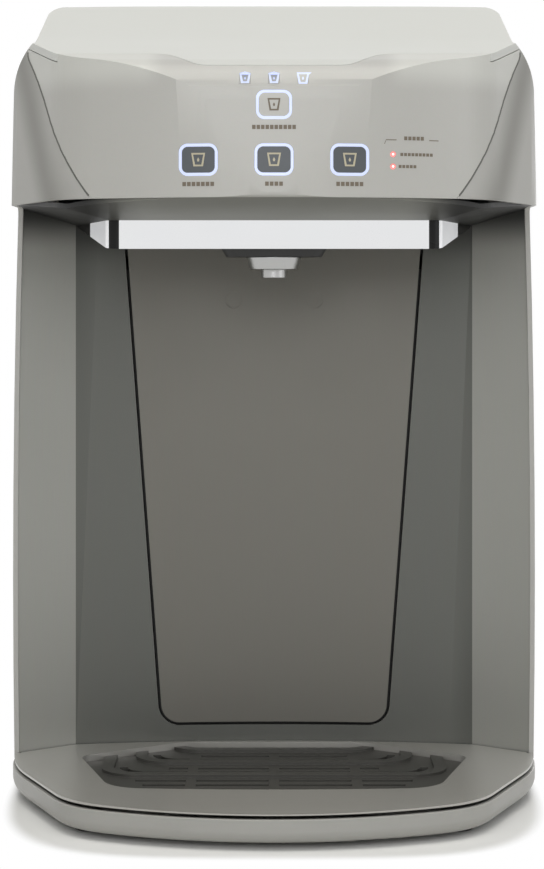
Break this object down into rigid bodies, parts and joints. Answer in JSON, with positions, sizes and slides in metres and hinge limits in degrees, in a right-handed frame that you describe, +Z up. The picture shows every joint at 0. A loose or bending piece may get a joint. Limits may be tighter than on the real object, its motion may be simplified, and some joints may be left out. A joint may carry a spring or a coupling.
{
  "type": "water purifier dispenser",
  "caption": "Compact countertop water purifier with a forward head, touch keys, recessed dispensing niche, spout, removable drip tray and hinged filter cover.",
  "frame": {"origin": "middle of the bounding box, on the floor", "axes": "+Z up, the front faces -Y, +X to the right seen from the front"},
  "size_m": [0.2638, 0.365, 0.398],
  "materials": {
    "light_shell": "satin moulded plastic",
    "lid_shell": "satin moulded plastic",
    "fascia_shell": "satin metallic plastic",
    "graphite_shell": "satin metallic plastic",
    "cover_shell": "satin metallic plastic",
    "tray_shell": "satin metallic plastic",
    "dark_plastic": "moulded",
    "white_plastic": "moulded",
    "bright_metal": "polished",
    "steel": "sheet",
    "painted_steel": "painted",
    "copper": "drawn tube",
    "black_rubber": "moulded",
    "key_face": "gloss",
    "light_guide": "frosted light guide",
    "red_lens": "lens",
    "board": "circuit board",
    "foam": "foam",
    "hose": "tube"
  },
  "bodies": {
    "housing": {"base_pan": "light_shell", "base_screws": "steel", "chassis": "steel", "chrome_band": "bright_metal", "cold_hose": "hose", "cold_key": "key_face", "cold_key_ring": "light_guide", "cold_tank": "steel", "cold_valve": "dark_plastic", "compressor": "painted_steel", "compressor_mounts": "black_rubber", "compressor_plate": "steel", "condenser": "painted_steel", "connection_plate": "dark_plastic", "control_board": "board", "cord_gland": "black_rubber", "drain_plug": "black_rubber", "evaporator_sleeve": "copper", "feed_hose": "hose", "filter_bay": "dark_plastic", "filter_cover_gasket": "black_rubber", "filter_manifold": "white_plastic", "filtered_hose": "hose", "head_fascia": "fascia_shell", "head_underside": "graphite_shell", "iced_key": "key_face", "iced_key_ring": "light_guide", "inlet_fitting": "white_plastic", "inlet_hose": "hose", "inlet_valve": "dark_plastic", "insulation_left": "foam", "insulation_right": "foam", "left_casing": "light_shell", "lid_hinge_pins": "steel", "natural_hose": "hose", "natural_key": "key_face", "natural_key_ring": "light_guide", "natural_valve": "dark_plastic", "niche_liner": "graphite_shell", "nozzle_base": "dark_plastic", "nozzle_collar": "bright_metal", "nozzle_housing": "dark_plastic", "outlet_manifold": "white_plastic", "outlet_spout": "steel", "power_board": "board", "rear_cover": "light_shell", "replace_lamps": "red_lens", "right_casing": "light_shell", "rubber_feet": "black_rubber", "volume_key": "fascia_shell", "volume_key_ring": "light_guide", "volume_lamps": "light_guide"},
    "lid": {"lid": "lid_shell"},
    "filter_cover": {"filter_cover": "cover_shell"},
    "filter_cartridge": {"filter_cartridge": "white_plastic", "cartridge_seals": "black_rubber"},
    "drip_tray": {"drip_tray": "tray_shell"},
    "drip_grille": {"drip_grille": "cover_shell"}
  },
  "joints": [
    {"name": "lid_swing", "type": "hinge", "parent": "housing", "child": "lid", "pos_m": [0, 0.0035, 0.389], "axis": [-1, 0, 0], "range_deg": [0, 70]},
    {"name": "filter_cover_swing", "type": "hinge", "parent": "housing", "child": "filter_cover", "pos_m": [0, -0.016, 0.2715], "axis": [-1, 0, 0], "range_deg": [0, 65]},
    {"name": "cartridge_turn", "type": "hinge", "parent": "housing", "child": "filter_cartridge", "pos_m": [0, 0.0205, 0.15], "axis": [0, 0, 1], "range_deg": [0, 90]},
    {"name": "drip_tray_lift", "type": "slide", "parent": "housing", "child": "drip_tray", "axis": [0, 0, 1], "range_m": [0, 0.06]},
    {"name": "drip_grille_lift", "type": "slide", "parent": "drip_tray", "child": "drip_grille", "axis": [0, 0, 1], "range_m": [0, 0.04]}
  ]
}
